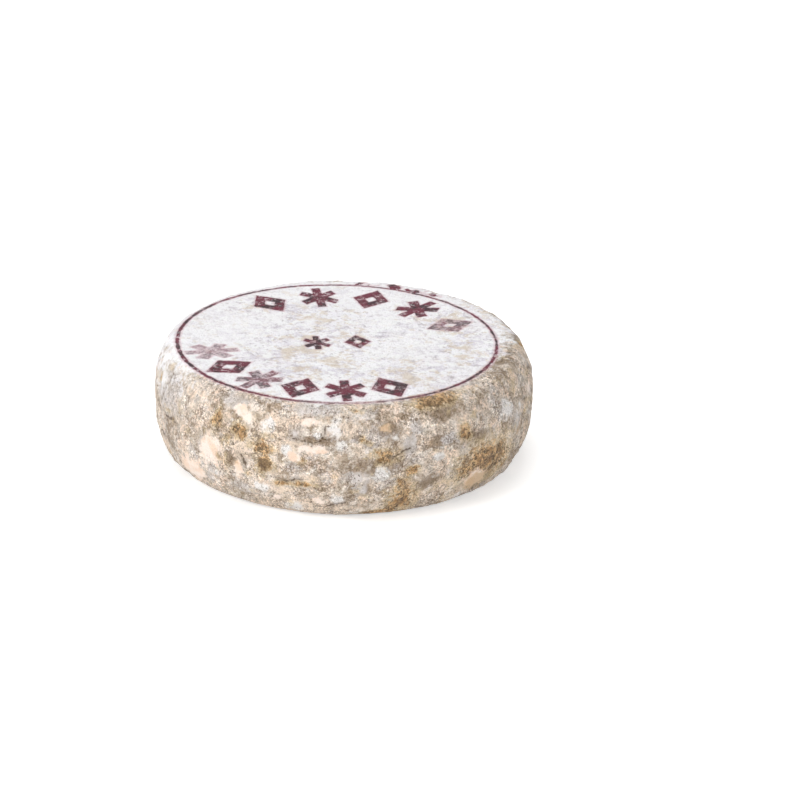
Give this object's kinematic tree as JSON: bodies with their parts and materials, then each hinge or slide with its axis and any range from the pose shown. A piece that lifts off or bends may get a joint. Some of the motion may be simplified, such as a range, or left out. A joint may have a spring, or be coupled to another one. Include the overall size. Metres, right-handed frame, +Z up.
{
  "type": "tomme cheese wheel",
  "caption": "Whole round natural-rind cheese wheel with a bulging side, softened upper edge, rounded heel and slightly hollow top face.",
  "frame": {"origin": "middle of the flat base, at the level of the shelf that the wheel rests on", "axes": "+Z up through the middle of the top face, -Y towards someone who faces the wheel's front, +X to their right"},
  "size_m": [0.1949, 0.1948, 0.0597],
  "materials": {
    "rind": null
  },
  "bodies": {
    "root": {"cheese_wheel": "rind"}
  },
  "joints": []
}
